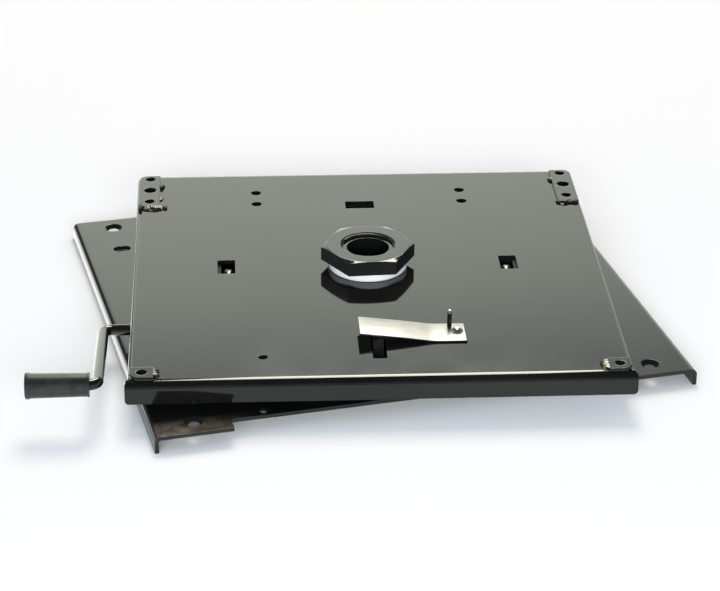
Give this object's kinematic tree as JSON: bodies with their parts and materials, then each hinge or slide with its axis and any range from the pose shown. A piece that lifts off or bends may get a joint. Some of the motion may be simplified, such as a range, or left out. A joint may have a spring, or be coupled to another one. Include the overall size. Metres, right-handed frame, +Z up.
{
  "type": "swivel seat base",
  "caption": "Black folded-steel seat swivel: a tray turns on a hollow threaded stud over a base plate, runs on plastic rollers and is locked by a sprung side lever.",
  "frame": {"origin": "on the swivel axis, at the underside of the base sheet", "axes": "+Z up along the swivel axis; +X to the right and +Y to the back along the base plate, whose folded flanges run along Y; the top plate stands turned by -11.81 degrees about +Z, as in the picture"},
  "size_m": [0.514, 0.4363, 0.0562],
  "materials": {
    "black_paint": "gloss",
    "bare_steel": "satin",
    "spring_steel": "bright",
    "white_plastic": "satin",
    "black_plastic": "gloss",
    "grip_rubber": "matt"
  },
  "bodies": {
    "base": {"base_plate": "black_paint", "pivot_stud": "black_paint", "pivot_spacer": "bare_steel", "upper_glide_ring": "white_plastic", "pivot_nut": "black_paint"},
    "top": {"top_plate": "black_paint", "rear_left_pad": "black_paint", "rear_right_pad": "black_paint", "front_left_pad": "black_paint", "front_right_pad": "black_paint", "pivot_bush": "white_plastic", "roller_bracket_right": "black_paint", "roller_bracket_rear": "black_paint", "roller_bracket_left": "black_paint", "roller_axle_right": "bare_steel", "roller_axle_rear": "bare_steel", "roller_axle_left": "bare_steel", "leaf_spring": "spring_steel", "spring_rivet": "bare_steel", "spring_stop_pin": "black_paint", "lever_bracket": "black_paint"},
    "lever": {"lever_rod": "black_paint", "lever_grip": "grip_rubber", "lever_clip": "bare_steel", "lock_dog": "black_paint"},
    "right_roller": {"roller_right": "black_plastic"},
    "rear_roller": {"roller_rear": "black_plastic"},
    "left_roller": {"roller_left": "black_plastic"}
  },
  "joints": [
    {"name": "swivel", "type": "hinge", "parent": "base", "child": "top", "pos_m": [0, 0, 0], "axis": [0, 0, 1], "continuous": true},
    {"name": "lever_turn", "type": "hinge", "parent": "top", "child": "lever", "pos_m": [-0.01678, -0.08026, 0.0158], "axis": [-0.9788, 0.2047, 0], "range_deg": [0, 10], "stiffness_Nm_per_rad": 6, "springref_deg": -17.19, "deforming": ["leaf_spring"]},
    {"name": "right_roller_spin", "type": "hinge", "parent": "top", "child": "right_roller", "pos_m": [0.10914, -0.02282, 0.0138], "axis": [0.9788, -0.2047, 0], "continuous": true},
    {"name": "rear_roller_spin", "type": "hinge", "parent": "top", "child": "rear_roller", "pos_m": [0.02282, 0.10914, 0.0138], "axis": [0.2047, 0.9788, 0], "continuous": true},
    {"name": "left_roller_spin", "type": "hinge", "parent": "top", "child": "left_roller", "pos_m": [-0.10914, 0.02282, 0.0138], "axis": [-0.9788, 0.2047, 0], "continuous": true}
  ],
  "couplings": [
    {"joint": "right_roller_spin", "follows": "swivel", "ratio": -10.619},
    {"joint": "rear_roller_spin", "follows": "swivel", "ratio": -10.619},
    {"joint": "left_roller_spin", "follows": "swivel", "ratio": -10.619}
  ]
}
